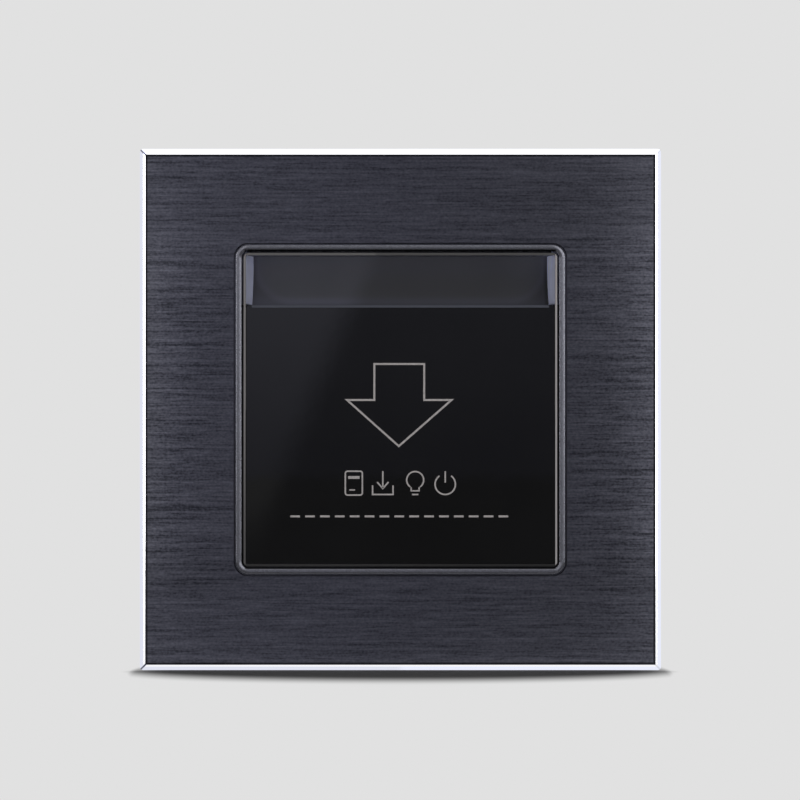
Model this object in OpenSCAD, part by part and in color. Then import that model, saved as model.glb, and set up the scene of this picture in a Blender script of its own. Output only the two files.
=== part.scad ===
// Hotel key card switch: a square wall plate with a flush card pocket and its switching base.
// X is right, Y goes into the wall and Z is up. The wall plane is y = 0 and the front faces -Y.
// All sizes are in millimetres.

/* [Plate] */
// Width and height of the face plate
plate_w = 92; // [84:0.5:110]
// How far the plate's front stands off the wall
plate_proud = 12; // [11.8:0.1:16]
// Thickness of the face plate
plate_t = 2; // [1.5:0.1:2.5]
// Width of the inner facet cut round the plate's edge
facet_in = 0.45; // [0.2:0.05:0.8]
// Width of the steep outer facet
facet_out = 0.7; // [0.3:0.05:1.2]
// Width of the fine groove just inside the facets
groove_w = 0.3; // [0.2:0.05:0.6]
// Depth of that groove
groove_d = 0.25; // [0.1:0.05:0.5]
// Corner radius of the plate
plate_corner_r = 0.6; // [0.4:0.1:2]
// Thickness of the carrier's front web
carrier_web = 1.5; // [1.3:0.1:1.6]
// Thickness of the carrier's skirt
skirt_t = 1.6; // [1.2:0.1:1.8]
// How far the skirt lies inside the plate's edge
skirt_inset = 0.6; // [0.4:0.1:1]

/* [Card and mouth] */
// Width of the key card
card_w = 54; // [50:0.1:58]
// Room on each side of the card
card_clear = 0.2; // [0.15:0.05:0.8]
// Thickness of the pocket's visible rim
rim_t = 0.4; // [0.3:0.05:0.5]
// Thickness of the rim above the mouth
rim_top = 0.42; // [0.3:0.02:0.8]
// Height of the open mouth above the panel
mouth_h = 8.76; // [6:0.02:11]
// Depth of the mouth at its top
mouth_depth_top = 7.6; // [6.8:0.1:8.6]
// Depth of the mouth at the panel's edge
mouth_depth_low = 6.1; // [5:0.1:6.6]
// Hollow radius of the mouth's back
scoop_r = 18; // [9:0.5:40]
// Draft of the mouth's sides, width lost per depth
mouth_draft = 0.14; // [0.05:0.01:0.2]

/* [Panel and ring] */
// Thickness of the front panel
panel_t = 1.2; // [1:0.1:1.3]
// Height of the panel's bevelled top edge
panel_bevel = 0.46; // [0.3:0.02:0.9]
// Length at each end of the top edge that is left without the bevel
panel_bevel_end = 0.9; // [0.5:0.1:3]
// Gap between panel and rim
panel_gap = 0.1; // [0.05:0.05:0.2]
// Gap between the pocket and the trim ring
ring_gap = 0.37; // [0.2:0.01:0.6]
// Visible width of the trim ring
ring_w = 1.05; // [0.7:0.05:2]
// Gap between the trim ring and the plate
ring_clear = 0.28; // [0.1:0.02:0.5]
// Height of the ring's crown
ring_crown = 0.25; // [0.15:0.05:0.35]
// Inner corner radius of the trim ring
ring_corner_r = 1.2; // [1:0.1:1.6]
// Width of the ring's hidden flange
ring_flange_w = 1.6; // [1.2:0.1:2]
// Thickness of the ring's hidden flange
ring_flange_t = 0.8; // [0.6:0.1:0.9]

/* [Pocket] */
// Thickness of the pocket's back wall
pocket_wall = 1.4; // [1.2:0.1:1.5]
// Distance from the wall to the back wall's lower end
pocket_low_y = 2.7; // [2.6:0.05:3.4]
// Thickness of the floor that stops the card
pocket_floor = 2.25; // [1.5:0.05:3.5]
// How far the rear body stands out at the sides
body_side = 1.75; // [1.4:0.05:2.2]
// How far the rear body stands out at the top and bottom
body_end = 0.45; // [0.2:0.05:0.7]

/* [Lever] */
// Radius of the lever's pivot pin
pin_r = 1; // [0.9:0.05:1.1]
// Running room round the pin
pin_clear = 0.05; // [0.03:0.01:0.08]
// Radius of the lever's hub
hub_r = 2.4; // [2.2:0.1:2.5]
// Width of the lever
lever_w = 5; // [4:0.1:5.6]
// Wire size of the return spring
spring_wire = 0.4; // [0.3:0.05:0.5]
// Mean radius of the return spring
spring_r = 1.4; // [1.2:0.05:1.5]
// Number of turns of the return spring
spring_turns = 6; // [4:1:7]

/* [Yoke and wall screws] */
// Thickness of the steel yoke
yoke_t = 1.2; // [1:0.1:1.2]
// How far the yoke's sides lie inside the plate's edge
yoke_side = 4; // [3:0.1:6]
// How far the yoke's ends lie inside the plate's edge
yoke_end = 8; // [4:0.1:8.5]
// Distance between the two wall screws
wall_pitch = 60.3; // [58:0.1:68]
// Width of the wall screw slots
wall_slot_w = 4.5; // [3.8:0.1:5]
// Length of the wall screw slots
wall_slot_len = 6.5; // [5.5:0.1:7.5]

/* [Rear housing] */
// Width of the rear housing
base_w = 50; // [46:0.1:54]
// Height of the rear housing
base_h = 56; // [52:0.1:60]
// Depth of the rear housing behind the wall plane
base_depth = 33.4; // [30:0.1:42]
// Thickness of the housing's side walls
base_wall = 1.6; // [1.2:0.1:2]
// Thickness of the housing's rear wall
base_rear = 2; // [1.5:0.1:2.6]
// Chamfer round the housing's rear edge
base_chamfer = 1.2; // [0.6:0.1:1.8]
// Length of the vent slots in the housing's rear wall
vent_len = 12; // [8:0.5:16]
// Width of the vent slots
vent_w = 1.5; // [1:0.1:2]
// Distance between the three wire terminals
terminal_pitch = 13; // [11:0.1:14.5]
// Radius of the wire holes in the terminals
wire_r = 2.1; // [1.8:0.05:2.2]
// Thickness of the circuit board
board_t = 1.6; // [1.4:0.1:1.8]
// Distance from the wall plane to the front of the board
board_y = 11; // [10.5:0.1:12]

/* [Hidden] */
$fn = 48;
eps = 0.1;
over = 1;
front_y = -plate_proud;
plate_back = front_y + plate_t;
web_back = plate_back + carrier_web;
groove_out = plate_w / 2 - facet_out - facet_in;
carrier_w = plate_w - 2 * skirt_inset;
carrier_core = carrier_w - 2 * skirt_t;
mouth_w = card_w + 2 * card_clear;
module_w = mouth_w + 2 * rim_t;
ring_in = module_w / 2 + ring_gap;
window_w = 2 * (ring_in + ring_w + ring_clear);
ring_side = ring_in - ring_corner_r;
ring_rim = ring_corner_r + ring_w;
window_r = ring_rim + ring_clear;
ring_flange_r = ring_rim + ring_flange_w;
ring_seat = plate_back + ring_flange_t;
ring_seat_clear = 0.15;
carrier_window = 2 * ring_in + 0.5;
crown_r = (pow(ring_w / 2, 2) + pow(ring_crown, 2)) / (2 * ring_crown);
crown_proud = 0.1;
crown_y = front_y - crown_proud;
web_rib_t = 1;
web_rib_back = web_back + 5;
web_rib_in = ring_side + ring_flange_r + 0.4;
web_rib_x = [6, 18];
web_rib_z = [8, 21];
mouth_top = module_w / 2 - rim_top;
panel_top = mouth_top - mouth_h;
panel_low = -module_w / 2 + rim_t + panel_gap;
panel_back = front_y + panel_t;
panel_w = mouth_w - 2 * panel_gap;
panel_r = 0.5;
panel_relief = 3.2;
panel_lip = 0.12;
sleeve_r = ring_corner_r - ring_gap;
pocket_body_w = module_w + 2 * body_side;
pocket_body_h = module_w + 2 * body_end;
card_stop = module_w / 2 - pocket_floor;
body_clear = 0.1;
body_front = web_back + body_clear;
body_back = -yoke_t;
back_top_y = front_y + mouth_depth_low;
back_low_y = -pocket_low_y;
back_slope = (back_low_y - back_top_y) / (panel_top + card_stop);
ridge_z = panel_top + 0.2;
scoop_top_y = front_y + mouth_depth_top;
scoop_dy = back_top_y - scoop_top_y;
scoop_dz = ridge_z - mouth_top;
scoop_len = sqrt(scoop_dy * scoop_dy + scoop_dz * scoop_dz);
scoop_rise = sqrt(scoop_r * scoop_r - scoop_len * scoop_len / 4);
scoop_y = (back_top_y + scoop_top_y) / 2 + scoop_rise * scoop_dz / scoop_len;
scoop_z = (ridge_z + mouth_top) / 2 - scoop_rise * scoop_dy / scoop_len;
pocket_side_t = 2;
pocket_roof_t = 0.6;
ledge_in = mouth_w / 2 - 1.2;
ledge_top = 8;
ledge_t = 0.9;
slot_half = lever_w / 2 + 0.7;
slot_top = -9.5;
slot_low = -21.8;
head_room_r = 4.6;
head_room_y = -3.5;
pivot = [1.5, -5];
ear_in = lever_w / 2 + 0.25;
ear_t = 1.6;
ear_out = ear_in + ear_t;
ear_foot = 4;
ear_sink = 0.4;
pin_fit = 0.01;
pin_half = ear_out + 0.4;
pad = [1.9, -10.5];
pad_r = 1.2;
pad_root = [2.2, -9.4];
knee = [-1.9, -9.6];
shin = [-3.2, -12.6];
nose_y = -6.3;
nose_z = -17.2;
nose_flat = 0.8;
nose_chamfer = 0.7;
nose_back = -3;
nose_low = -19.6;
nose_top = -15;
heel = [0.4, -12.4];
plunger_r = 1;
plunger_len = 3.2;
plunger_gap = 0.05;
plunger_front = pad[0] + pad_r + plunger_gap;
switch_front = 4.7;
switch_half_x = 6.4;
switch_half_z = 2.9;
switch_well = plunger_front + 4.6;
collar_t = 0.6;
collar_h = 0.3;
switch_hole_r = 0.9;
switch_hole_x = 2.9;
switch_hole_at = [switch_front + 4.6, pad[1] + 1.2];
spring_z = -17.4;
cover_front = 0.1;
cover_back = 1.6;
cup_r = spring_r + spring_wire / 2 + 0.4;
cup_wall = 1;
cup_floor = 5.2;
spring_len = cup_floor - nose_back - 0.05;
spring_pitch = spring_len / (spring_turns + 0.35);
spring_arc = 360 * spring_wire / spring_pitch;
hook_t = 1.4;
hook_bite = 0.7;
hook_tip = 1.7;
hook_lead = 0.6;
hook_play = 0.05;
hook_root = 1;
hook_edge = 5.1;
yoke_w = plate_w - 2 * yoke_side;
yoke_h = plate_w - 2 * yoke_end;
yoke_r = 4;
carrier_hook = [24, yoke_h / 2 - hook_edge];
carrier_hook_half = 3;
pocket_hook = [pocket_body_w / 2 - 1.9, 16];
pocket_hook_half = 2.5;
hook_slot_side = 0.3;
hook_slot_in = 0.8;
hook_slot_out = 0.2;
yoke_head_r = 2.6;
yoke_head_h = 1.6;
yoke_shank_r = 1.45;
yoke_shank_len = 8;
yoke_hole_r = 1.7;
yoke_thread_r = 1.5;
yoke_thread_len = 8.2;
yoke_screw = [12, pocket_body_h / 2 + yoke_head_r + 0.6];
yoke_window_w = base_w - 5;
yoke_window_h = base_h - 5;
base_r = 2;
base_inner_r = 1;
base_flange_w = 2 * (pocket_hook[0] - 1.1);
lug_r = 3;
lug_len = 9;
inner_w = base_w - 2 * base_wall;
inner_h = base_h - 2 * base_wall;
inner_back = base_depth - base_rear;
cover_gap = 0.2;
cover_w = inner_w - 2 * cover_gap;
cover_h = inner_h - 2 * cover_gap;
cover_ledge = 1.2;
cover_ledge_back = cover_back + 1.6;
cover_room = 0.5;
vent_steps = [-2.5:2.5];
vent_pitch = 4.5;
vent_top = inner_h / 2 - 7.4;
board_gap = 0.2;
board_w = inner_w - 2 * cover_ledge - 2 * board_gap;
board_h = inner_h - 2 * cover_ledge - 2 * board_gap;
board_back = board_y + board_t;
post_half = 4;
post_len = 8;
post_deep = 10;
post_low = -inner_h / 2 + 0.4;
post_top = post_low + post_len;
post_front = inner_back - post_deep;
post_mid = (post_low + post_top) / 2;
wire_y = post_front + post_deep / 2;
wire_room = 0.4;
funnel = 0.8;
tab_half = 1.5;
tab_proud = 0.8;
tab_t = 1;
tab_room = 0.1;
fence_half = 0.6;
fence_ahead = 3;
fence_above = 1;
terminal_screw_r = 1.5;
terminal_room_r = 2.6;
terminal_sunk = 0.8;
terminal_drive = 0.7;
boss_x = board_w / 2 - 2.6;
boss_top_z = board_h / 2 - 3.2;
boss_low_z = post_top + 7.5;
boss = [[-boss_x, boss_top_z], [boss_x, boss_top_z], [-boss_x, boss_low_z], [boss_x, boss_low_z]];
boss_r = 2.4;
boss_hole_len = 9.5;
board_screw_r = 1.2;
board_screw_len = 8.5;
board_head_r = 2.1;
board_head_h = 1.4;
board_hole_r = 1.5;
thread_fit = 0.05;
drive_w = 0.7;
drive_len = 3.2;
drive_deep = 0.8;
board_drive_w = 0.6;
board_drive_len = 2.6;
relay_top = 6.3;
relay_w = 29;
relay_h = 12.7;
relay_deep = inner_back - board_back - 3.1;
relay_vent = 3;
relay_vent_r = 0.6;
relay_vent_d = 0.4;
film_w = 18;
film_h = 6;
film_deep = 12;
smooth_r = 4;
smooth_len = 12;
smooth_score = 5;
smooth_score_w = 0.5;
smooth_score_d = 0.2;
disc_r = 5;
disc_t = 4;
disc_up = 0.6;
disc_lead = 2.5;
disc_lead_r = 0.4;
bridge_w = 5.6;
bridge_h = 8.2;
bridge_deep = 3.3;
row_gap = (board_w - disc_t - film_w - 2 * smooth_r - bridge_w) / 5;
disc_x = -board_w / 2 + row_gap + disc_t / 2;
film_x = disc_x + disc_t / 2 + row_gap;
smooth_x = film_x + film_w + row_gap + smooth_r;
bridge_x = smooth_x + smooth_r + row_gap;
relay_x = film_x;
relay_z = board_h / 2 - relay_top - relay_h;
film_z = relay_z - 2.6 - film_h;
smooth_z = relay_z - 5.6;
disc_z = relay_z - 1;
bridge_z = boss_low_z + boss_r + 3.5;
chip_w = 3.9;
chip_h = 4.9;
chip_deep = 1.45;
chip_x = -board_w / 2 + 9;
chip_z = board_h / 2 - 21;
chip_foot = [1, 0.25, 0.4];
chip_pitch = 1.27;
chip_sink = 0.05;
resistor_r = 1.2;
resistor_len = 6.4;
resistor_x = 1;
resistor_pitch = 4;
resistor_top = board_h / 2 - 6;
lead_r = 0.3;
lead_out = 2.4;

// Extrudes an XZ outline along Y
module slab(y0, y1) {
    translate([0, y1, 0]) rotate([90, 0, 0]) linear_extrude(y1 - y0) children();
}

// Extrudes a YZ outline along X
module beam(x0, x1) {
    translate([x0, 0, 0]) rotate([90, 0, 90]) linear_extrude(x1 - x0) children();
}

// Extrudes an XY outline along Z
module tower(z0, z1) {
    translate([0, 0, z0]) linear_extrude(z1 - z0) children();
}

// Box between two corners
module block(lo, hi) {
    translate(lo) cube(hi - lo);
}

// Round bar along X at a YZ point
module rod_x(at, r, x0, x1) {
    translate([x0, at[0], at[1]]) rotate([0, 90, 0]) cylinder(r = r, h = x1 - x0);
}

// Round bar along Y at an XZ point
module rod_y(at, r, y0, y1) {
    translate([at[0], y1, at[1]]) rotate([90, 0, 0]) cylinder(r = r, h = y1 - y0);
}

// Round bar along Z at an XY point
module rod_z(at, r, z0, z1) {
    translate([at[0], at[1], z0]) cylinder(r = r, h = z1 - z0);
}

// Rectangle with true round corners, about the centre
module rounded(w, h, r) {
    square([w, h - 2 * r], center = true);
    square([w - 2 * r, h], center = true);
    for (sx = [-1, 1]) for (sz = [-1, 1]) translate([sx * (w / 2 - r), sz * (h / 2 - r)]) circle(r);
}

// Slot with round ends, along the first axis, about the centre
module long_hole(len, w) {
    run = (len - w) / 2;
    square([2 * run, w], center = true);
    for (end = [-1, 1]) translate([end * run, 0]) circle(w / 2);
}

// Repeats a piece of the upper right quarter in all four quarters
module quarters() {
    for (mx = [0, 1]) for (mz = [0, 1]) mirror([mx, 0, 0]) mirror([0, 0, mz]) children();
}

// Snap hook seen from its side: y runs to the tip, the barb points to the second axis
module hook_outline(y0) {
    polygon([
        [y0, 0], [hook_tip, 0], [hook_tip, hook_t * 0.6], [hook_lead, hook_t + hook_bite],
        [hook_play, hook_t + hook_bite], [hook_play, hook_t], [y0, hook_t]
    ]);
}

// Half widths of the plate over its depth
function edge_points() = [
    [front_y, groove_out],
    [front_y + facet_in, plate_w / 2 - facet_out],
    [plate_back, plate_w / 2]
];

module edge_outline(swap) {
    half = edge_points();
    ring = concat(half, [for (i = [2:-1:0]) [half[i][0], -half[i][1]]]);
    polygon([for (p = ring) swap ? [p[1], p[0]] : p]);
}

module face_plate() {
    color([0.2, 0.2, 0.22]) difference() {
        intersection() {
            beam(-plate_w / 2, plate_w / 2) edge_outline(false);
            tower(-plate_w / 2, plate_w / 2) edge_outline(true);
            slab(front_y, plate_back) rounded(plate_w, plate_w, plate_corner_r);
        }
        slab(front_y - eps, plate_back + eps) rounded(window_w, window_w, window_r);
        slab(front_y - eps, front_y + groove_d) difference() {
            square(2 * groove_out, center = true);
            square(2 * (groove_out - groove_w), center = true);
        }
    }
}

module carrier_hook_at() {
    translate([0, 0, carrier_hook[1]])
        beam(carrier_hook[0] - carrier_hook_half, carrier_hook[0] + carrier_hook_half)
            hook_outline(web_back - eps);
}

// Stiffening rib of the carrier's web, from the ring's seat out to the skirt
module web_rib(turn, at) {
    rotate([0, turn, 0]) block(
        [at - web_rib_t / 2, web_back - eps, web_rib_in],
        [at + web_rib_t / 2, web_rib_back, carrier_core / 2 + eps]
    );
}

module plate_carrier() {
    flange_w = 2 * (ring_side + ring_flange_r + ring_seat_clear);
    color([0.1, 0.1, 0.11]) union() {
        difference() {
            slab(plate_back, 0) rounded(carrier_w, carrier_w, plate_corner_r);
            slab(web_back, eps) rounded(carrier_core, carrier_core, plate_corner_r);
            slab(plate_back - eps, ring_seat) rounded(flange_w, flange_w, ring_flange_r + ring_seat_clear);
            slab(plate_back, web_back + eps) rounded(carrier_window, carrier_window, ring_corner_r);
        }
        quarters() carrier_hook_at();
        for (s = [-1, 1]) {
            for (turn = [0, 180]) for (x = web_rib_x) web_rib(turn, s * x);
            for (turn = [90, 270]) for (z = web_rib_z) web_rib(turn, s * z);
        }
    }
}

// Cross-section of the ring, first axis from the corner centre, second axis along Y
module ring_outline() {
    intersection() {
        translate([ring_corner_r, crown_y]) square([ring_w, ring_crown]);
        translate([ring_corner_r + ring_w / 2, crown_y + crown_r]) circle(crown_r);
    }
    translate([ring_corner_r, crown_y + ring_crown]) square([ring_w, ring_seat - crown_y - ring_crown]);
    translate([ring_corner_r, plate_back]) square([ring_w + ring_flange_w, ring_flange_t]);
}

module trim_ring() {
    color([0.42, 0.43, 0.45]) for (turn = [0:90:270]) rotate([0, turn, 0]) {
        beam(-ring_side, ring_side) translate([0, ring_side]) mirror([1, -1, 0]) ring_outline();
        translate([ring_side, 0, ring_side]) rotate([-90, 0, 0]) rotate([0, 0, -90])
            rotate_extrude(angle = 90) ring_outline();
    }
}

module front_panel() {
    relief_y = panel_back - panel_t / 2;
    relief_z = panel_top - panel_relief;
    bevel_half = panel_w / 2 - panel_bevel_end;
    color([0.03, 0.03, 0.03]) difference() {
        intersection() {
            beam(-panel_w / 2, panel_w / 2) polygon([
                [front_y, panel_low], [front_y, panel_top], [relief_y, panel_top],
                [panel_back, relief_z], [panel_back, panel_low]
            ]);
            slab(front_y - eps, panel_back + eps) translate([0, (panel_top + panel_low) / 2])
                rounded(panel_w, panel_top - panel_low, panel_r);
        }
        beam(-bevel_half, bevel_half) polygon([
            [front_y, panel_top - panel_bevel], [relief_y - panel_lip, panel_top],
            [relief_y - panel_lip, panel_top + over], [front_y - over, panel_top + over],
            [front_y - over, panel_top - panel_bevel]
        ]);
    }
}

// Open mouth with drafted sides and a hollow back
module mouth_space() {
    wide = mouth_w / 2;
    deep = mouth_depth_top + over;
    intersection() {
        beam(-wide, wide) intersection() {
            translate([scoop_y, scoop_z]) circle(scoop_r);
            translate([front_y - eps, ridge_z]) square([deep, mouth_top - ridge_z]);
        }
        tower(ridge_z - over, mouth_top + over) polygon([
            [-wide, front_y - eps], [wide, front_y - eps], [wide, front_y],
            [wide - mouth_draft * deep, front_y + deep], [mouth_draft * deep - wide, front_y + deep],
            [-wide, front_y]
        ]);
    }
}

// Card space behind the panel, with the panel's seat
module card_space() {
    beam(-mouth_w / 2, mouth_w / 2) polygon([
        [front_y - eps, ridge_z], [back_top_y, ridge_z], [back_low_y, -card_stop],
        [panel_back, -card_stop], [panel_back, panel_low - panel_gap],
        [front_y - eps, panel_low - panel_gap]
    ]);
}

// Hollow behind the pocket's back wall
module rear_space() {
    half = pocket_body_w / 2 - pocket_side_t;
    beam(-half, half) polygon([
        [0, mouth_top - pocket_roof_t], [scoop_top_y + pocket_wall, mouth_top - pocket_roof_t],
        [back_top_y + pocket_wall, panel_top], [back_low_y + pocket_wall, -card_stop],
        [0, -card_stop]
    ]);
}

// Rear face of the pocket's back wall at a height
function back_face(z) = back_top_y + back_slope * (panel_top - z) + pocket_wall;

module pivot_ear() {
    beam(ear_in, ear_out) difference() {
        union() {
            translate(pivot) circle(hub_r);
            polygon([
                [pivot[0], pivot[1] - hub_r], [pivot[0], pivot[1] + hub_r],
                [back_face(pivot[1] + ear_foot) - ear_sink, pivot[1] + ear_foot],
                [back_face(pivot[1] - ear_foot) - ear_sink, pivot[1] - ear_foot]
            ]);
        }
        translate(pivot) circle(pin_r + pin_fit);
    }
}

module pocket_hook_at() {
    translate([pocket_hook[0], 0, 0])
        tower(pocket_hook[1] - pocket_hook_half, pocket_hook[1] + pocket_hook_half)
            mirror([1, -1, 0]) hook_outline(body_back - hook_root);
}

module card_pocket() {
    color([0.07, 0.07, 0.08]) union() {
        difference() {
            union() {
                slab(front_y, body_front + eps) rounded(module_w, module_w, sleeve_r);
                slab(body_front, body_back) rounded(pocket_body_w, pocket_body_h, sleeve_r);
            }
            mouth_space();
            card_space();
            rear_space();
            block([-slot_half, back_top_y, slot_low], [slot_half, 0, slot_top]);
            for (sx = [-1, 1]) rod_y([sx * wall_pitch / 2, 0], head_room_r, head_room_y, 0);
        }
        for (mx = [0, 1]) mirror([mx, 0, 0]) {
            block([ledge_in, panel_back, -card_stop - eps], [mouth_w / 2 + eps, panel_back + ledge_t, ledge_top]);
            pivot_ear();
        }
        quarters() pocket_hook_at();
    }
}

module card_lever() {
    color([0.85, 0.85, 0.83]) difference() {
        beam(-lever_w / 2, lever_w / 2) union() {
            translate(pivot) circle(hub_r);
            translate(pad) circle(pad_r);
            polygon([
                [pivot[0] - hub_r, pivot[1]], knee, shin, [nose_y, nose_z], [nose_y, nose_z - nose_flat],
                [nose_y + nose_chamfer, nose_z - nose_flat - nose_chamfer], [nose_back, nose_low],
                [nose_back, nose_top], heel, [pad[0], pad[1] - pad_r], pad_root, [pivot[0] + hub_r, pivot[1]]
            ]);
        }
        rod_x(pivot, pin_r + pin_clear, -lever_w, lever_w);
    }
}

module lever_pin() {
    color([0.75, 0.76, 0.78]) rod_x(pivot, pin_r, -pin_half, pin_half);
}

// Sector of the spring's wire, as one level of the coil
module coil_outline() {
    inner = spring_r - spring_wire / 2;
    outer = spring_r + spring_wire / 2;
    turn = [for (i = [0:5]) spring_arc * i / 5];
    polygon(concat(
        [for (a = turn) outer * [cos(a), sin(a)]],
        [for (i = [5:-1:0]) inner * [cos(turn[i]), sin(turn[i])]]
    ));
}

module lever_spring() {
    color([0.7, 0.71, 0.73]) translate([0, cup_floor, spring_z]) rotate([90, 0, 0])
        linear_extrude(spring_len, twist = -360 * spring_turns, slices = 16 * spring_turns, $fn = 12)
            coil_outline();
}

module micro_switch() {
    color([0.12, 0.12, 0.13]) difference() {
        union() {
            block(
                [-switch_half_x, switch_front, pad[1] - switch_half_z],
                [switch_half_x, board_y, pad[1] + switch_half_z]
            );
            rod_y([0, pad[1]], plunger_r + collar_t, switch_front - collar_h, switch_front + eps);
        }
        rod_y([0, pad[1]], plunger_r + pin_clear, switch_front - over, switch_well);
        for (sx = [-1, 1]) translate([sx * switch_half_x, 0, 0])
            rod_x(switch_hole_at, switch_hole_r, -switch_half_x + switch_hole_x, switch_half_x - switch_hole_x);
    }
}

module switch_plunger() {
    color([0.75, 0.15, 0.12]) rod_y([0, pad[1]], plunger_r, plunger_front, plunger_front + plunger_len);
}

module mounting_yoke() {
    mid = (hook_t + hook_slot_out - hook_slot_in) / 2;
    deep = hook_t + hook_slot_in + hook_slot_out;
    color([0.72, 0.73, 0.74]) slab(-yoke_t, 0) difference() {
        rounded(yoke_w, yoke_h, yoke_r);
        square([yoke_window_w, yoke_window_h], center = true);
        for (sx = [-1, 1]) translate([sx * wall_pitch / 2, 0]) long_hole(wall_slot_len, wall_slot_w);
        for (sx = [-1, 1]) for (sz = [-1, 1]) {
            translate([sx * yoke_screw[0], sz * yoke_screw[1]]) circle(yoke_hole_r);
            translate([sx * carrier_hook[0], sz * (carrier_hook[1] + mid)])
                square([2 * (carrier_hook_half + hook_slot_side), deep], center = true);
            translate([sx * (pocket_hook[0] + mid), sz * pocket_hook[1]])
                square([deep, 2 * (pocket_hook_half + hook_slot_side)], center = true);
        }
    }
}

// Depth outline of the housing with its chamfered rear edges, y first
module base_outline(half) {
    side_end = base_depth - base_chamfer;
    polygon([
        [0, -half], [0, half], [side_end, half], [base_depth, half - base_chamfer],
        [base_depth, base_chamfer - half], [side_end, -half]
    ]);
}

module base_shell() {
    lug_in = base_h / 2 - base_wall;
    difference() {
        union() {
            intersection() {
                slab(0, base_depth) rounded(base_w, base_h, base_r);
                beam(-base_w / 2, base_w / 2) base_outline(base_h / 2);
                tower(-base_h / 2, base_h / 2) mirror([1, -1, 0]) base_outline(base_w / 2);
            }
            slab(0, base_wall) rounded(base_flange_w, base_h, base_r);
            quarters() slab(0, lug_len) translate([yoke_screw[0], 0]) {
                translate([0, yoke_screw[1]]) circle(lug_r);
                translate([-lug_r, lug_in]) square([2 * lug_r, yoke_screw[1] - lug_in]);
            }
        }
        slab(-eps, inner_back) rounded(inner_w, inner_h, base_inner_r);
    }
}

// Ledge that carries the inner cover
module cover_seat() {
    difference() {
        slab(cover_back, cover_ledge_back) square([inner_w + eps, inner_h + eps], center = true);
        slab(cover_back - eps, cover_ledge_back + eps)
            square([inner_w - 2 * cover_ledge, inner_h - 2 * cover_ledge], center = true);
    }
}

module base_box() {
    hole_r = wire_r + wire_room;
    color([0.86, 0.85, 0.8]) difference() {
        union() {
            base_shell();
            cover_seat();
            for (b = boss) rod_y(b, boss_r, board_back, inner_back + eps);
            for (sx = [-1, 1]) block(
                [sx * terminal_pitch / 2 - fence_half, post_front - fence_ahead, -inner_h / 2 - eps],
                [sx * terminal_pitch / 2 + fence_half, inner_back + eps, post_top + fence_above]
            );
        }
        for (b = boss) rod_y(b, board_screw_r + thread_fit, board_back - eps, board_back + boss_hole_len);
        quarters() rod_y(yoke_screw, yoke_thread_r, -eps, yoke_thread_len);
        for (i = vent_steps) slab(inner_back - eps, base_depth + eps)
            translate([i * vent_pitch, vent_top - vent_len / 2]) rotate(90) long_hole(vent_len, vent_w);
        for (i = [-1:1]) {
            rod_z([i * terminal_pitch, wire_y], hole_r, -base_h / 2 - eps, -inner_h / 2 + eps);
            translate([i * terminal_pitch, wire_y, -base_h / 2]) cylinder(r1 = hole_r + funnel, r2 = hole_r, h = funnel);
            rod_y([i * terminal_pitch, post_mid], terminal_room_r, inner_back - eps, base_depth + eps);
        }
    }
}

module inner_cover() {
    room = ear_out + cover_room;
    color([0.9, 0.89, 0.85]) difference() {
        union() {
            slab(cover_front, cover_back) rounded(cover_w, cover_h, base_inner_r);
            rod_y([0, spring_z], cup_r + cup_wall, cover_front, cup_floor + cup_wall);
        }
        rod_y([0, spring_z], cup_r, cover_front - eps, cup_floor);
        block(
            [-room, cover_front - eps, spring_z + cup_r + cup_wall / 2],
            [room, cover_back + eps, pivot[1] + ear_foot]
        );
    }
}

// Screw with its head in front of a face and a crossed drive
module crossed_screw(at, face_y, head_r, head_h, shank_r, end_y, wide, len) {
    difference() {
        union() {
            rod_y(at, head_r, face_y - head_h, face_y);
            rod_y(at, shank_r, face_y - eps, end_y);
        }
        translate([at[0], face_y - head_h, at[1]]) {
            cube([len, 2 * drive_deep, wide], center = true);
            cube([wide, 2 * drive_deep, len], center = true);
        }
    }
}

module yoke_screws() {
    color([0.8, 0.81, 0.82]) quarters()
        crossed_screw(yoke_screw, -yoke_t, yoke_head_r, yoke_head_h, yoke_shank_r, yoke_shank_len, drive_w, drive_len);
}

module circuit_board() {
    color([0.1, 0.35, 0.2]) slab(board_y, board_back) difference() {
        square([board_w, board_h], center = true);
        for (b = boss) translate(b) circle(board_hole_r);
        for (i = [-1:1]) translate([i * terminal_pitch, post_top - 1.5 * tab_t])
            square([2 * (tab_half + tab_room), tab_t + 2 * tab_room], center = true);
    }
}

module board_screws() {
    color([0.8, 0.81, 0.82]) for (b = boss) crossed_screw(
        b, board_y, board_head_r, board_head_h, board_screw_r, board_back + board_screw_len, board_drive_w, board_drive_len
    );
}

module relay() {
    far = [relay_x + relay_w, board_back + relay_deep, relay_z + relay_h];
    color([0.12, 0.2, 0.4]) difference() {
        block([relay_x, board_back, relay_z], far);
        rod_y([far[0] - relay_vent, relay_z + relay_vent], relay_vent_r, far[1] - relay_vent_d, far[1] + eps);
    }
}

module film_capacitor() {
    color([0.75, 0.6, 0.2]) block([film_x, board_back, film_z], [film_x + film_w, board_back + film_deep, film_z + film_h]);
}

module smoothing_capacitor() {
    color([0.15, 0.15, 0.25]) difference() {
        rod_y([smooth_x, smooth_z], smooth_r, board_back, board_back + smooth_len);
        translate([smooth_x, board_back + smooth_len, smooth_z]) {
            cube([smooth_score, 2 * smooth_score_d, smooth_score_w], center = true);
            cube([smooth_score_w, 2 * smooth_score_d, smooth_score], center = true);
        }
    }
}

module varistor() {
    mid = board_back + disc_r + disc_up;
    color([0.2, 0.35, 0.6]) union() {
        rod_x([mid, disc_z], disc_r, disc_x - disc_t / 2, disc_x + disc_t / 2);
        for (sz = [-1, 1]) rod_y([disc_x, disc_z + sz * disc_lead], disc_lead_r, board_back, mid);
    }
}

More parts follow.
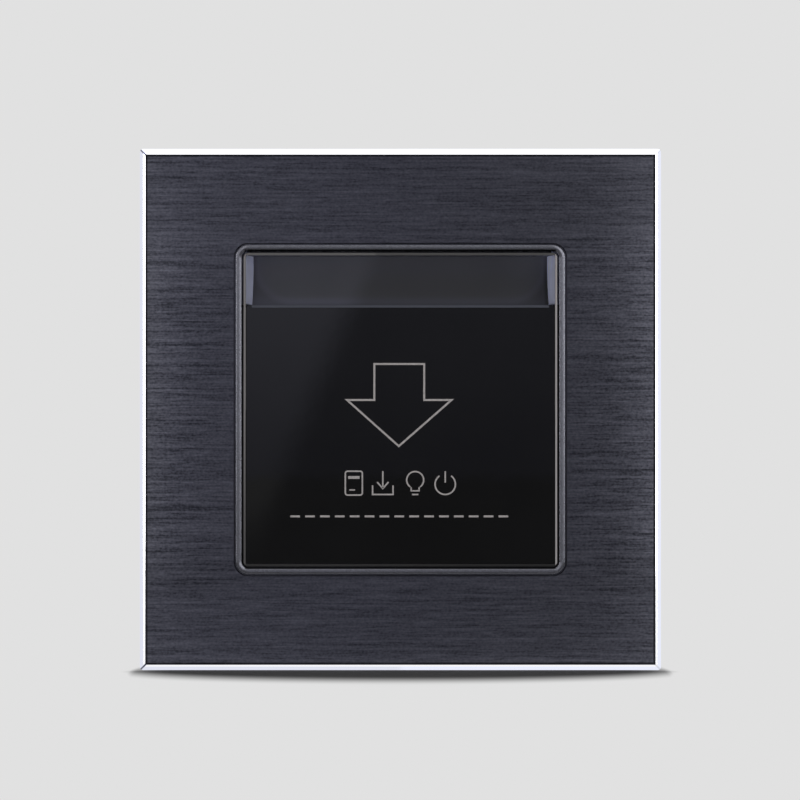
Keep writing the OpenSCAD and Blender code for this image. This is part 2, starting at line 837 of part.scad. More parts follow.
module bridge_rectifier() {
    color([0.1, 0.1, 0.1]) block(
        [bridge_x, board_back, bridge_z], [bridge_x + bridge_w, board_back + bridge_deep, bridge_z + bridge_h]
    );
}

module control_chip() {
    half = [chip_w / 2, chip_deep, chip_h / 2];
    foot = chip_foot / 2;
    color([0.09, 0.09, 0.09]) translate([chip_x, board_y, chip_z]) {
        block([-half[0], -half[1], -half[2]], [half[0], 0, half[2]]);
        for (sx = [-1, 1]) for (i = [-1.5:1.5])
            translate([sx * (half[0] + foot[0] - chip_sink), -foot[1], i * chip_pitch]) cube(chip_foot, center = true);
    }
}

module resistors() {
    mid = board_y - resistor_r;
    ends = [resistor_x - lead_out, resistor_x + resistor_len + lead_out];
    color([0.75, 0.65, 0.5]) for (i = [0:2]) {
        z = resistor_top - i * resistor_pitch;
        rod_x([mid, z], resistor_r, resistor_x, resistor_x + resistor_len);
        rod_x([mid, z], lead_r, ends[0], ends[1]);
        for (x = [ends[0] + lead_r, ends[1] - lead_r]) rod_y([x, z], lead_r, mid, board_y);
    }
}

module terminal_posts() {
    color([0.8, 0.65, 0.3]) for (i = [-1:1]) translate([i * terminal_pitch, 0, 0]) difference() {
        union() {
            block([-post_half, post_front, post_low], [post_half, inner_back, post_top]);
            block([-tab_half, board_y - tab_proud, post_top - 2 * tab_t], [tab_half, post_front + eps, post_top - tab_t]);
        }
        rod_z([0, wire_y], wire_r, post_low - eps, post_top + eps);
        rod_y([0, post_mid], terminal_screw_r + thread_fit, wire_y, inner_back + eps);
    }
}

module terminal_screws() {
    tip = wire_y + wire_r + eps;
    end = base_depth - terminal_sunk;
    color([0.78, 0.79, 0.8]) for (i = [-1:1]) difference() {
        rod_y([i * terminal_pitch, post_mid], terminal_screw_r, tip, end);
        translate([i * terminal_pitch, end, post_mid])
            cube([2 * terminal_screw_r + over, 2 * terminal_sunk, terminal_drive], center = true);
    }
}

face_plate();
plate_carrier();
trim_ring();
front_panel();
card_pocket();
card_lever();
lever_pin();
lever_spring();
micro_switch();
switch_plunger();
mounting_yoke();
base_box();
inner_cover();
yoke_screws();
circuit_board();
board_screws();
relay();
film_capacitor();
smoothing_capacitor();
varistor();
bridge_rectifier();
control_chip();
resistors();
terminal_posts();
terminal_screws();
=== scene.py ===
"""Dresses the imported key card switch: materials, printed signs, stage, lights and camera."""

import math

import bmesh
import bpy
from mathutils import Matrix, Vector


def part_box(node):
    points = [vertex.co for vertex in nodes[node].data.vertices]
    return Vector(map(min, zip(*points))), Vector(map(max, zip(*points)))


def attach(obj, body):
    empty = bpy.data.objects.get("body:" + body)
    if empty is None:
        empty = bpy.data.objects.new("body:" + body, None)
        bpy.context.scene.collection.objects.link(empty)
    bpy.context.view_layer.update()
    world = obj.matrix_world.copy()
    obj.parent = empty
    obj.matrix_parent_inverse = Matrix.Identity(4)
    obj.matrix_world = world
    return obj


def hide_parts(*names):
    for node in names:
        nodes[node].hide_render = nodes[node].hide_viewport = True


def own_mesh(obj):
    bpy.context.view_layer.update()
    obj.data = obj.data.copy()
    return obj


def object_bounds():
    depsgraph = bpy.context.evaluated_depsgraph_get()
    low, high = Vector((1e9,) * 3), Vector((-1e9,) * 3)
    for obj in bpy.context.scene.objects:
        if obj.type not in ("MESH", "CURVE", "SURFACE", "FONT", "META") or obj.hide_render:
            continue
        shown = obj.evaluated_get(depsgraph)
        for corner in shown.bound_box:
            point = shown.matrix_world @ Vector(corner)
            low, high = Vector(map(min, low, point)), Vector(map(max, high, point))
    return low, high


MM = 0.001
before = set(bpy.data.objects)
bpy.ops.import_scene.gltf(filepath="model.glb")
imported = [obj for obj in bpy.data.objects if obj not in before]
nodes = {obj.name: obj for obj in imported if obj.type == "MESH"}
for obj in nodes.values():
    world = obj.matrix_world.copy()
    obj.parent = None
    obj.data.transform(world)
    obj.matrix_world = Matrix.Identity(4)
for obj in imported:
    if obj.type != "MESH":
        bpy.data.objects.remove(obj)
cad_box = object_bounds()
scene = bpy.context.scene
scene.view_settings.view_transform = "Standard"

# Sizes of the front that the finishes follow: half widths end in X
plate_lo, plate_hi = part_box("face_plate")
panel_lo, panel_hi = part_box("front_panel")
FRONT_Y = panel_lo.y
INNER_FACET = 0.45 * MM
OUTER_FACET = 0.7 * MM
GROOVE = 0.3 * MM
PANEL_BEVEL = 0.46 * MM
PANEL_BEVEL_END = 0.9 * MM
PANEL_GAP = 0.1 * MM
MOUTH_DRAFT = 0.14
RIM = 0.4 * MM
RING_GAP = 0.37 * MM
RING = 1.05 * MM
RING_R = 1.2 * MM
RING_CLEAR = 0.28 * MM
FACE_X = plate_hi.x - OUTER_FACET - INNER_FACET
MOUTH_X = panel_hi.x + PANEL_GAP
RIM_X = MOUTH_X + RIM
RING_X = RIM_X + RING_GAP
WINDOW_X = RING_X + RING + RING_CLEAR
WINDOW_R = RING_R + RING + RING_CLEAR

# Near black, used for painted shade
SHADE = (0.004, 0.004, 0.005)


class NodeTree:
    """Short names for building shader nodes."""

    def __init__(self, tree):
        self.tree = tree

    def put(self, socket, value):
        """Links a socket or sets a plain value; colours are opaque."""
        if isinstance(value, bpy.types.NodeSocket):
            self.tree.links.new(value, socket)
        elif socket.type == "RGBA":
            socket.default_value = (*value, 1)
        else:
            socket.default_value = value

    def node(self, kind, values=(), **settings):
        made = self.tree.nodes.new(kind)
        for key, value in settings.items():
            setattr(made, key, value)
        for key, value in dict(values).items():
            self.put(made.inputs[key], value)
        return made

    def math(self, op, *values):
        return self.node("ShaderNodeMath", enumerate(values), operation=op).outputs[0]

    def times(self, product, *factors):
        for factor in factors:
            product = self.math("MULTIPLY", product, factor)
        return product

    def past(self, value, start):
        """How far value lies past start, or 0."""
        return self.math("MAXIMUM", self.math("SUBTRACT", value, start), 0.0)

    def length(self, a, b):
        """Distance that has a and b as its sides."""
        return self.math("SQRT", self.math("ADD", self.times(a, a), self.times(b, b)))

    def span(self, value, low, high):
        """Smooth step from 0 at low to 1 at high."""
        ends = {0: value, 1: low, 2: high, 3: 0.0, 4: 1.0}
        return self.node("ShaderNodeMapRange", ends, interpolation_type="SMOOTHSTEP").outputs[0]

    def blend(self, factor, a, b):
        """Number between a and b."""
        return self.node("ShaderNodeMix", {0: factor, 2: a, 3: b}, data_type="FLOAT").outputs[0]

    def mix(self, factor, a, b):
        """Colour between a and b."""
        return self.node("ShaderNodeMix", {0: factor, 6: a, 7: b}, data_type="RGBA").outputs[2]

    def scale(self, colour, factor):
        values = {0: colour, "Scale": factor}
        return self.node("ShaderNodeVectorMath", values, operation="SCALE").outputs[0]

    def ramp(self, value, *stops):
        """Colour at value, from stops of a place and a colour each."""
        made = self.node("ShaderNodeValToRGB", {"Fac": value})
        marks = made.color_ramp.elements
        for _ in stops[2:]:
            marks.new(1.0)
        for mark, (position, colour) in zip(marks, stops):
            mark.position = position
            mark.color = (*colour, 1)
        return made.outputs[0]


class Shader(NodeTree):
    """One material, with places in the frame of its object."""

    def __init__(self, name):
        self.mat = bpy.data.materials.new(name)
        self.mat.use_nodes = True
        super().__init__(self.mat.node_tree)
        self.bsdf = self.tree.nodes["Principled BSDF"]
        self.place = self.node("ShaderNodeTexCoord").outputs["Object"]
        self.axes = self.node("ShaderNodeSeparateXYZ", {"Vector": self.place}).outputs

    def axis(self, letter):
        return self.axes[letter]

    def size(self, letter):
        """Distance from the middle along an axis."""
        return self.math("ABSOLUTE", self.axes[letter])

    def noise(self, scale, detail=3.0, rough=0.5, shift=(0, 0, 0), distort=0.0):
        """Noise with its own scale along each axis, in cells per metre."""
        scale = scale if isinstance(scale, tuple) else (scale,) * 3
        mapping = {"Vector": self.place, "Scale": scale, "Location": shift}
        where = self.node("ShaderNodeMapping", mapping).outputs[0]
        look = {"Scale": 1.0, "Detail": detail, "Roughness": rough, "Distortion": distort}
        return self.node("ShaderNodeTexNoise", {"Vector": where, **look}).outputs[0]

    def relief(self, height, strength, distance=0.1 * MM, **under):
        """Normal of a bumpy surface, on top of another normal if one is given."""
        values = {"Strength": strength, "Distance": distance, "Height": height, **under}
        return self.node("ShaderNodeBump", values).outputs[0]

    def glow(self, colour, level):
        return self.node("ShaderNodeEmission", {"Color": colour, "Strength": level}).outputs[0]

    def either(self, factor, a, b):
        """Shader between a and b."""
        return self.node("ShaderNodeMixShader", {0: factor, 1: a, 2: b}).outputs[0]

    def surface(self, shader):
        self.put(self.tree.nodes["Material Output"].inputs["Surface"], shader)
        return self.mat

    def set(self, **values):
        for key, value in values.items():
            self.put(self.bsdf.inputs[key.replace("_", " ")], value)
        return self.mat


# Materials
def tint(colour, factor):
    return tuple(c * factor for c in colour)


def moulded(name, colour, rough, grain=2500.0, depth=0.12, spread=0.12):
    """Moulded plastic: fine spark-erosion grain, faint cloudy colour and gloss changes."""
    s = Shader(name)
    cloud = s.noise(60.0, 4.0)
    fine = s.noise(grain, 2.0)
    return s.set(
        Base_Color=s.ramp(cloud, (0.3, tint(colour, 1 - spread)), (0.7, tint(colour, 1 + spread))),
        Roughness=s.blend(fine, rough - 0.06, rough + 0.06),
        Normal=s.relief(fine, depth),
    )


def plated(name, colour, rough, along=(40.0, 40.0, 2200.0)):
    """Metal with drawn lines and a cloudy plating."""
    s = Shader(name)
    lines = s.noise(along, 3.0)
    cloud = s.noise(120.0, 4.0)
    return s.set(
        Base_Color=s.mix(cloud, tint(colour, 0.82), colour),
        Roughness=s.blend(lines, rough - 0.08, rough + 0.08),
        Metallic=1.0,
        Normal=s.relief(lines, 0.08),
    )


def plate_grain(s, across, ends):
    """Brushing in layers of hairs, fine hairs, long streaks and mottle, stronger towards the sides."""
    layers = (
        (0.34, s.noise((190.0, 300.0, 3000.0), 2.0, 0.5, (3.1, 0.0, 7.7), 0.5)),
        (0.18, s.noise((800.0, 900.0, 6200.0), 2.0, 0.6, (9.4, 0.0, 1.3))),
        (0.23, s.noise((30.0, 100.0, 2500.0), 1.0, 0.4, (1.7, 0.0, 4.2))),
        (0.25, s.noise((2100.0, 2100.0, 2700.0), 1.0, 0.5, (5.3, 0.0, 2.9))),
    )
    mean, level = 0.48, 0.492
    grain = 0.0
    for share, layer in layers:
        grain = s.math("MULTIPLY_ADD", layer, share, grain)
    contrast = s.blend(s.span(across, 24 * MM, 44 * MM), 0.57, s.blend(ends, 0.95, 0.70))
    return s.math("MULTIPLY_ADD", s.math("SUBTRACT", grain, mean), contrast, level)


def plate_edge(s, across, up, out, left):
    """Bright facets, the outer one painted darker and bluer as a reflection, with mitres painted dark as
    shade; both darkest on the left.
    """
    outer = s.span(out, FACE_X + INNER_FACET - 0.03 * MM, FACE_X + INNER_FACET + 0.03 * MM)
    # Painted reflection: the outer facet darker and bluer than the inner, darker still on the left
    steep = s.mix(left, (0.80, 0.83, 0.97), (0.71, 0.73, 0.85))
    bright = s.mix(outer, (0.94, 0.94, 0.97), steep)
    # Painted shade along the corner mitres, strongest on the left
    skew = s.math("ABSOLUTE", s.math("SUBTRACT", across, up))
    mitre = s.times(s.span(skew, 0.27 * MM, 0.15 * MM), s.blend(left, 0.25, 1.0))
    return s.mix(mitre, bright, (0.045, 0.05, 0.10))


def plate_roll(s, across, ends, left):
    """Height of the face: it falls away to the left and right, more evenly above and below the window."""
    past = s.past(across, 31 * MM)
    drop = s.blend(ends, s.blend(left, -133.0, -187.0), -52.0)
    bow = s.blend(ends, s.blend(left, -0.375, -0.165), s.blend(left, -0.6, -0.45))
    steeper = s.times(s.math("POWER", past, 3.0), drop)
    return s.math("MULTIPLY_ADD", s.times(across, across), bow, steeper)


def brushed_plate():
    """Black anodised brushed face, with a bright cut edge outside its border groove."""
    s = Shader("brushed_plate")
    across, up = s.size("X"), s.size("Z")
    out = s.math("MAXIMUM", across, up)
    left = s.span(s.axis("X"), MM, -MM)
    ends = s.span(up, 24 * MM, 34 * MM)
    grain = plate_grain(s, across, ends)
    face = s.ramp(
        grain,
        (0.31, (0.031, 0.032, 0.040)),
        (0.42, (0.068, 0.070, 0.088)),
        (0.49, (0.129, 0.131, 0.164)),
        (0.66, (0.266, 0.270, 0.329)),
    )
    cut = s.span(out, FACE_X + 0.09 * MM, FACE_X + 0.11 * MM)
    # Painted shade: the border groove and the inner tenth of a millimetre of the cut facet take the face
    # colour at about a third
    groove = s.span(out, FACE_X - GROOVE - 0.04 * MM, FACE_X - GROOVE + 0.04 * MM)
    face = s.mix(s.math("SUBTRACT", groove, cut), face, s.scale(face, 0.35))
    # Painted shade: a dark line along the window's edge, dark like its walls
    corner = WINDOW_X - WINDOW_R
    lip = s.length(s.past(across, corner), s.past(up, corner))
    face = s.mix(s.span(lip, WINDOW_R + 0.06 * MM, WINDOW_R + 0.01 * MM), face, SHADE)
    flat = s.math("SUBTRACT", 1.0, cut)
    crown = s.relief(plate_roll(s, across, ends, left), flat, 1.0)
    return s.set(
        Base_Color=s.mix(cut, face, plate_edge(s, across, up, out, left)),
        Roughness=s.blend(cut, s.blend(grain, 0.28, 0.42), 0.08),
        Metallic=1.0,
        Anisotropic=0.85,
        Anisotropic_Rotation=0.25,
        Tangent=s.node("ShaderNodeTangent", direction_type="RADIAL", axis="Z").outputs[0],
        Normal=s.relief(s.times(grain, flat), 0.3, 0.06 * MM, Normal=crown),
    )


def mouth_back(s, cloud, wall, right):
    """Back of the mouth, painted lighter than the black moulding: a scoop with two round lower corners,
    with a painted sheen along its edge.
    """
    x, z, across = s.axis("X"), s.axis("Z"), s.size("X")
    corner, side_x, foot_z = 6 * MM, 25 * MM, 19.6 * MM
    scoop = s.length(s.past(across, side_x - corner), s.past(foot_z + corner, z))
    foot = s.span(scoop, corner - 0.5 * MM, corner + 0.5 * MM)
    # Painted light: grey well above the black moulding, paler and bluer outside the scoop and in a band
    # along the foot
    back = s.ramp(cloud, (0.3, (0.052, 0.053, 0.069)), (0.7, (0.061, 0.062, 0.080)))
    back = s.mix(foot, back, (0.065, 0.065, 0.091))
    back = s.mix(s.span(z, 20.4 * MM, 18.9 * MM), back, (0.055, 0.057, 0.083))
    # Painted reflection: lighter left of a slanting line; painted light lifts the far right and painted
    # shade dulls it outside the scoop
    slant = s.math("SUBTRACT", x, s.times(z, 0.37))
    dim = s.span(slant, -18 * MM, -12.5 * MM)
    tone = s.times(
        s.blend(dim, 1.25, 0.69),
        s.blend(s.span(x, 17 * MM, 23 * MM), 1.0, 1.25),
        s.blend(s.span(scoop, corner + 0.4 * MM, corner + 1.6 * MM), 1.0, 0.68),
    )
    # Painted light: lighter towards the top, and along the foot
    rise = s.math("DIVIDE", s.past(z, 21 * MM), 6 * MM)
    rise = s.math("MULTIPLY_ADD", s.times(rise, rise), s.blend(dim, 0.9, 1.45), 0.8)
    rise = s.math("MULTIPLY_ADD", s.span(z, 20.6 * MM, 18.9 * MM), 0.3, rise)
    back = s.scale(back, s.times(tone, rise))
    # Painted shade: dark along the edge where the back meets the cheeks, deeper on the right and lower
    # down
    cheek_edge_shade = s.span(s.math("SUBTRACT", wall, across), 0.9 * MM, 0.3 * MM)
    deeper = s.blend(s.span(z, 27 * MM, 22 * MM), 0.3, 0.85)
    return s.mix(s.times(cheek_edge_shade, s.blend(right, 0.2, deeper)), back, SHADE)


def cheek_satin_and_light(s, depth, right):
    """Pale satin of the mouth's cheeks, with painted light making it lighter inwards, upwards and on the
    right.
    """
    level = s.times(
        s.math("MULTIPLY_ADD", depth, 0.115 / MM, 0.55),
        s.blend(s.span(s.axis("Z"), 23.5 * MM, 27 * MM), 1.0, 1.4),
        s.blend(right, 1.0, 1.45),
    )
    return s.scale((0.43, 0.45, 0.59), level)


def rim_painted_light(s, right):
    """Painted light on the rim of the pocket, palest on its right and hardly any along its foot."""
    x, z = s.axis("X"), s.axis("Z")
    left_tone = s.blend(s.span(z, -27 * MM, 5 * MM), 0.07, 0.18)
    low_tone = s.blend(s.span(x, -15 * MM, 20 * MM), 0.017, 0.007)
    top_tone = s.blend(s.span(x, -4.8 * MM, -4 * MM), 0.095, 0.055)
    end_tone = s.blend(s.span(z, -MM, MM), low_tone, top_tone)
    beside = s.span(s.size("X"), MOUTH_X + 0.06 * MM, MOUTH_X + 0.12 * MM)
    return s.scale((1.0, 0.95, 0.96), s.blend(beside, end_tone, s.blend(right, left_tone, 0.34)))


def pocket_plastic():
    """Glossy black moulding; the mouth's cheeks are satin, the mouth carries painted light and shade, and
    the thin rim has painted light.
    """
    s = Shader("pocket_plastic")
    cloud = s.noise(90.0, 3.0)
    right = s.span(s.axis("X"), -MM, MM)
    high = s.span(s.axis("Z"), panel_hi.z + 0.08 * MM, panel_hi.z + 0.18 * MM)
    depth = s.math("SUBTRACT", s.axis("Y"), FRONT_Y)
    wall = s.math("SUBTRACT", MOUTH_X, s.times(depth, MOUTH_DRAFT))
    cheek = s.times(high, s.span(s.size("X"), s.math("SUBTRACT", wall, 0.03 * MM), wall))
    rim = s.span(depth, 0.02 * MM, 0.0)
    black = s.ramp(cloud, (0.3, (0.010, 0.010, 0.012)), (0.7, (0.018, 0.018, 0.021)))
    colour = s.mix(high, black, mouth_back(s, cloud, wall, right))
    # Pale satin cheeks, with painted light
    colour = s.mix(cheek, colour, cheek_satin_and_light(s, depth, right))
    satin = s.math("MAXIMUM", high, rim)
    return s.set(
        # Painted light on the thin rim
        Base_Color=s.mix(rim, colour, rim_painted_light(s, right)),
        Roughness=s.blend(satin, s.blend(cloud, 0.14, 0.20), s.blend(cloud, 0.42, 0.52)),
        Normal=s.relief(s.noise(3000.0, 2.0), 0.04),
    )


def ring_paint():
    """Dark metallic lacquer on the moulded ring, with painted shade making its inner lip black along the
    top and the foot.
    """
    s = Shader("ring_paint")
    fleck = s.noise(4200.0, 3.0, 0.6)
    cloud = s.noise(70.0, 3.0)
    paint = s.ramp(fleck, (0.3, (0.140, 0.141, 0.166)), (0.7, (0.26, 0.262, 0.306)))
    # Painted shade: the inner lip of the top and foot runs is dark, wider along the top
    lip_end = s.blend(s.span(s.axis("Z"), -MM, MM), RING_X + 0.10 * MM, RING_X + 0.25 * MM)
    lip = s.span(s.math("SUBTRACT", s.size("Z"), lip_end), 0.07 * MM, -0.07 * MM)
    lip = s.times(lip, s.span(s.size("X"), RIM_X, MOUTH_X))
    return s.set(
        Base_Color=s.mix(lip, paint, SHADE),
        Roughness=s.blend(cloud, 0.15, 0.20),
        Metallic=0.75,
        Normal=s.relief(fleck, 0.10),
    )


def acrylic():
    """Polished black acrylic with the faintest orange peel; the milled bevel on top is left satin, and
    painted paler as a highlight.
    """
    s = Shader("panel_acrylic")
    haze = s.noise(45.0, 4.0)
    black = s.ramp(haze, (0.3, (0.0030, 0.0030, 0.0034)), (0.7, (0.0048, 0.0048, 0.0054)))
    bevel_z = panel_hi.z - PANEL_BEVEL
    bevel_x = panel_hi.x - PANEL_BEVEL_END
    # Painted highlight along the satin bevel on top, ending short of the panel's sides
    milled = s.times(
        s.span(s.axis("Y"), FRONT_Y + 0.005 * MM, FRONT_Y + 0.015 * MM),
        s.span(s.axis("Z"), bevel_z - 0.06 * MM, bevel_z - 0.02 * MM),
        s.span(s.size("X"), bevel_x + 0.05 * MM, bevel_x),
    )
    return s.set(
        Base_Color=s.mix(milled, black, (0.046, 0.050, 0.068)),
        Roughness=s.blend(milled, s.blend(haze, 0.018, 0.032), 0.4),
        Normal=s.relief(s.noise(700.0, 2.0), 0.010),
    )


def board_laminate():
    """Solder resist, a lighter green over the copper tracks, with tinned pads on a 2.54 mm grid."""
    s = Shader("board_laminate")
    flat = s.node("ShaderNodeCombineXYZ", {"X": s.axis("X"), "Y": s.axis("Z")}).outputs[0]
    cloud = s.noise(140.0, 4.0)
    bars = s.node(
        "ShaderNodeTexBrick",
        {"Vector": flat, "Scale": 1 / MM, "Brick Width": 5.2, "Row Height": 1.27, "Mortar Size": 0.17},
        offset=0.37,
    )
    trace = s.times(bars.outputs["Fac"], s.span(cloud, 0.42, 0.46))
    pitch = 2.54 * MM
    grid = s.node("ShaderNodeTexVoronoi", {"Vector": flat, "Scale": 1 / pitch, "Randomness": 0.0}).outputs
    pick = s.node("ShaderNodeSeparateColor", {0: grid["Color"]}).outputs[0]
    pad = s.times(s.span(grid["Distance"], 0.23, 0.20), s.span(pick, 0.74, 0.75))
    green = s.mix(trace, (0.010, 0.080, 0.032), (0.030, 0.190, 0.080))
    return s.set(
        Base_Color=s.mix(pad, green, (0.62, 0.62, 0.60)),
        Roughness=s.blend(cloud, 0.26, 0.38),
        Metallic=pad,
        Normal=s.relief(s.math("MAXIMUM", trace, pad), 0.3),
    )


def print_ink():
    """Screen-printed light grey ink, a little uneven."""
    s = Shader("print_ink")
    patch = s.noise(2600.0, 3.0)
    return s.set(
        Base_Color=s.ramp(patch, (0.25, (0.29, 0.27, 0.268)), (0.75, (0.42, 0.392, 0.388))),
        Roughness=s.blend(patch, 0.45, 0.6),
        Normal=s.relief(patch, 0.15),
    )


def dress(material, *names):
    for name in names:
        slots = nodes[name].data.materials
        slots.clear()
        slots.append(material)


dress(brushed_plate(), "face_plate")
dress(ring_paint(), "trim_ring")
dress(acrylic(), "front_panel")
dress(pocket_plastic(), "card_pocket")
dress(moulded("carrier_plastic", (0.022, 0.022, 0.024), 0.52, 1800.0, 0.2), "plate_carrier")
dress(moulded("lever_plastic", (0.70, 0.70, 0.66), 0.42), "card_lever")
dress(moulded("red_plastic", (0.55, 0.05, 0.04), 0.35), "switch_plunger")
dress(moulded("housing_plastic", (0.72, 0.71, 0.655), 0.48, 1500.0, 0.2, 0.05), "base_box", "inner_cover")
dress(
    moulded("dark_component", (0.025, 0.025, 0.027), 0.5),
    "micro_switch", "bridge_rectifier", "control_chip",
)
dress(moulded("blue_plastic", (0.03, 0.11, 0.34), 0.4), "relay", "varistor")
dress(moulded("yellow_plastic", (0.62, 0.42, 0.06), 0.4), "film_capacitor")
dress(moulded("capacitor_sleeve", (0.03, 0.03, 0.07), 0.25), "smoothing_capacitor")
dress(moulded("resistor_coat", (0.52, 0.40, 0.25), 0.4), "resistors")
dress(plated("zinc_steel", (0.66, 0.67, 0.68), 0.34), "mounting_yoke", "lever_pin")
dress(
    plated("screw_steel", (0.70, 0.70, 0.72), 0.28, 900.0),
    "yoke_screws", "board_screws", "terminal_screws",
)
dress(plated("brass", (0.72, 0.53, 0.20), 0.3), "terminal_posts")
dress(board_laminate(), "circuit_board")


# Pieces made here
def new_object(name, data):
    made = bpy.data.objects.new(name, data)
    scene.collection.objects.link(made)
    return made


def mesh_object(name, bm, material):
    """Turns a closed bmesh into an object."""
    bmesh.ops.recalc_face_normals(bm, faces=bm.faces)
    mesh = bpy.data.meshes.new(name)
    bm.to_mesh(mesh)
    bm.free()
    mesh.materials.append(material)
    return new_object(name, mesh)


def coil_spring():
    """Return spring of round wire with closed end turns."""
    lo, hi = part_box("lever_spring")
    front, back, mid_z = lo.y, hi.y, (lo.z + hi.z) / 2
    wire, turns, steps, sides = 0.2 * MM, 6.5, 28, 10
    radius = hi.x - wire
    closed = 0.62
    count = int(turns * steps)
    full = 2 * math.pi
    bm = bmesh.new()
    rings = []
    for i in range(count + 1):
        t = i / count
        eased = t - closed * math.sin(full * t) / full
        turn = full * turns * t
        out = Vector((math.cos(turn), 0, math.sin(turn)))
        y = front + wire + (back - front - 2 * wire) * eased
        centre = out * radius + Vector((0, y, mid_z))
        climb = (back - front) / (full * turns) * (1 - closed * math.cos(full * t))
        along = Vector((-math.sin(turn) * radius, climb, math.cos(turn) * radius)).normalized()
        up = along.cross(out)
        ring = []
        for k in range(sides):
            a = full * k / sides
            ring.append(bm.verts.new(centre + wire * (math.cos(a) * out + math.sin(a) * up)))
        rings.append(ring)
    for a, b in zip(rings, rings[1:]):
        for k in range(sides):
            face = bm.faces.new((a[k], a[(k + 1) % sides], b[(k + 1) % sides], b[k]))
            face.smooth = True
    bm.faces.new(rings[0])
    bm.faces.new(rings[-1])
    steel = plated("spring_wire", (0.68, 0.69, 0.71), 0.26, (2600.0, 300.0, 2600.0))
    piece = mesh_object("return_spring", bm, steel)
    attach(piece, "base")
    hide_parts("lever_spring")
    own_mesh(piece)


coil_spring()

# Printed signs on the panel, drawn in millimetres with strokes of four widths
INK_FRONT = FRONT_Y - 0.03 * MM
INK_BACK = FRONT_Y + 0.01 * MM
THIN, FINE, BROAD, BAR = 0.24, 0.26, 0.34, 0.5


def corner_offset(before, point, after, half):
    """Where the two sides of a stroke meet at a corner."""
    sharpest = 0.3
    a = (point - before).normalized()
    b = (after - point).normalized()
    bend = (a + b).normalized()
    normal = Vector((-bend.y, bend.x))
    return normal * (half / max(sharpest, bend.dot(a)))


def stroke(bm, points, width, closed):
    """Adds a thin solid along points in XZ, as a ring if it is closed."""
    pts = [Vector(p) for p in points]
    count = len(pts)
    rails = []
    for i, p in enumerate(pts):
        before = pts[i - 1] if closed or i else p * 2 - pts[1]
        after = pts[(i + 1) % count] if closed or i < count - 1 else p * 2 - pts[-2]
        off = corner_offset(before, p, after, width / 2)
        ring = []
        for side, y in ((1, INK_FRONT), (-1, INK_FRONT), (-1, INK_BACK), (1, INK_BACK)):
            q = p + off * side
            ring.append(bm.verts.new((q.x * MM, y, q.y * MM)))
        rails.append(ring)
    runs = count if closed else count - 1
    for i in range(runs):
        a, b = rails[i], rails[(i + 1) % count]
        for k in range(4):
            bm.faces.new((a[k], a[(k + 1) % 4], b[(k + 1) % 4], b[k]))
    if not closed:
        bm.faces.new(rails[0])
        bm.faces.new(rails[-1])


def arc(cx, cz, r, start, end, steps):
    turns = [math.radians(start + (end - start) * i / steps) for i in range(steps + 1)]
    return [(cx + r * math.cos(turn), cz + r * math.sin(turn)) for turn in turns]


def rounded_box(w, h, r):
    out = []
    for sx, sz, start in ((1, 1, 0), (-1, 1, 90), (-1, -1, 180), (1, -1, 270)):
        out += arc(sx * (w / 2 - r), sz * (h / 2 - r), r, start, start + 90, 5)
    return out


def shifted(points, x, z):
    return [(x + dx, z + dz) for dx, dz in points]


ink = print_ink()


def printed(name, strokes):
    """One printed piece from strokes of points, a width and whether they close."""
    bm = bmesh.new()
    for points, width, closed in strokes:
        stroke(bm, points, width, closed)
    piece = mesh_object(name, bm, ink)
    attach(piece, "base")


PRINT_X = -0.2
SHAFT, HEAD = 4.39, 9.2
ARROW_TOP, SHOULDER = 8.03, 1.69
TIP = (-0.08, -6.43)
arrow = [
    (-SHAFT, ARROW_TOP), (SHAFT, ARROW_TOP), (SHAFT, SHOULDER), (HEAD, SHOULDER),
    TIP, (-HEAD, SHOULDER), (-SHAFT, SHOULDER),
]
printed("print_arrow", [(shifted(arrow, PRINT_X, 0), BROAD, True)])

SIGN_Z = -12.95
card = [
    (rounded_box(3.0, 4.2, 0.4), FINE, True),
    ([(-1.0, 1.0), (1.0, 1.0)], BAR, False),
    ([(-0.8, -1.2), (0.2, -1.2)], THIN, False),
]
slot_sign = [
    ([(-1.8, -0.4), (-1.8, -2.0), (1.8, -2.0), (1.8, -0.4)], FINE, False),
    ([(0, 2.1), (0, -0.9)], FINE, False),
    ([(-1.0, 0.2), (0, -0.95), (1.0, 0.2)], FINE, False),
]
lamp = [
    (arc(0, 0.55, 1.5, -55, 235, 18), FINE, False),
    ([(-0.7, -0.7), (-0.7, -1.35), (0.7, -1.35), (0.7, -0.7)], THIN, False),
    ([(-0.55, -2.0), (0.55, -2.0)], FINE, False),
]
power = [
    (arc(0, -0.2, 1.8, 125, 415, 20), FINE, False),
    ([(0, 2.1), (0, 0.1)], FINE, False),
]
signs = []
for sign_x, sign in ((-8.2, card), (-3.1, slot_sign), (2.6, lamp), (7.9, power)):
    signs += [(shifted(points, sign_x, SIGN_Z), width, closed) for points, width, closed in sign]
printed("print_signs", signs)

RULE_Z = -18.8
DASHES, DASH_PITCH, DASH = 15, 2.62, 1.7
rule = []
for i in range(DASHES):
    middle = PRINT_X + (i - DASHES // 2) * DASH_PITCH
    rule.append(([(middle - DASH / 2, RULE_Z), (middle + DASH / 2, RULE_Z)], BROAD, False))
printed("print_rule", rule)


# Stage, lights and camera
def linear(level):
    """Linear value of a bright screen value of up to 255."""
    return ((level / 255 + 0.055) / 1.055) ** 2.4


BACKGROUND = (linear(225),) * 3
FLOOR_Z = cad_box[0].z - 0.02 * MM
FLOOR_HALF = 4.0
FLOOR_TONE = 0.64
SHADOW_TONE = 0.05


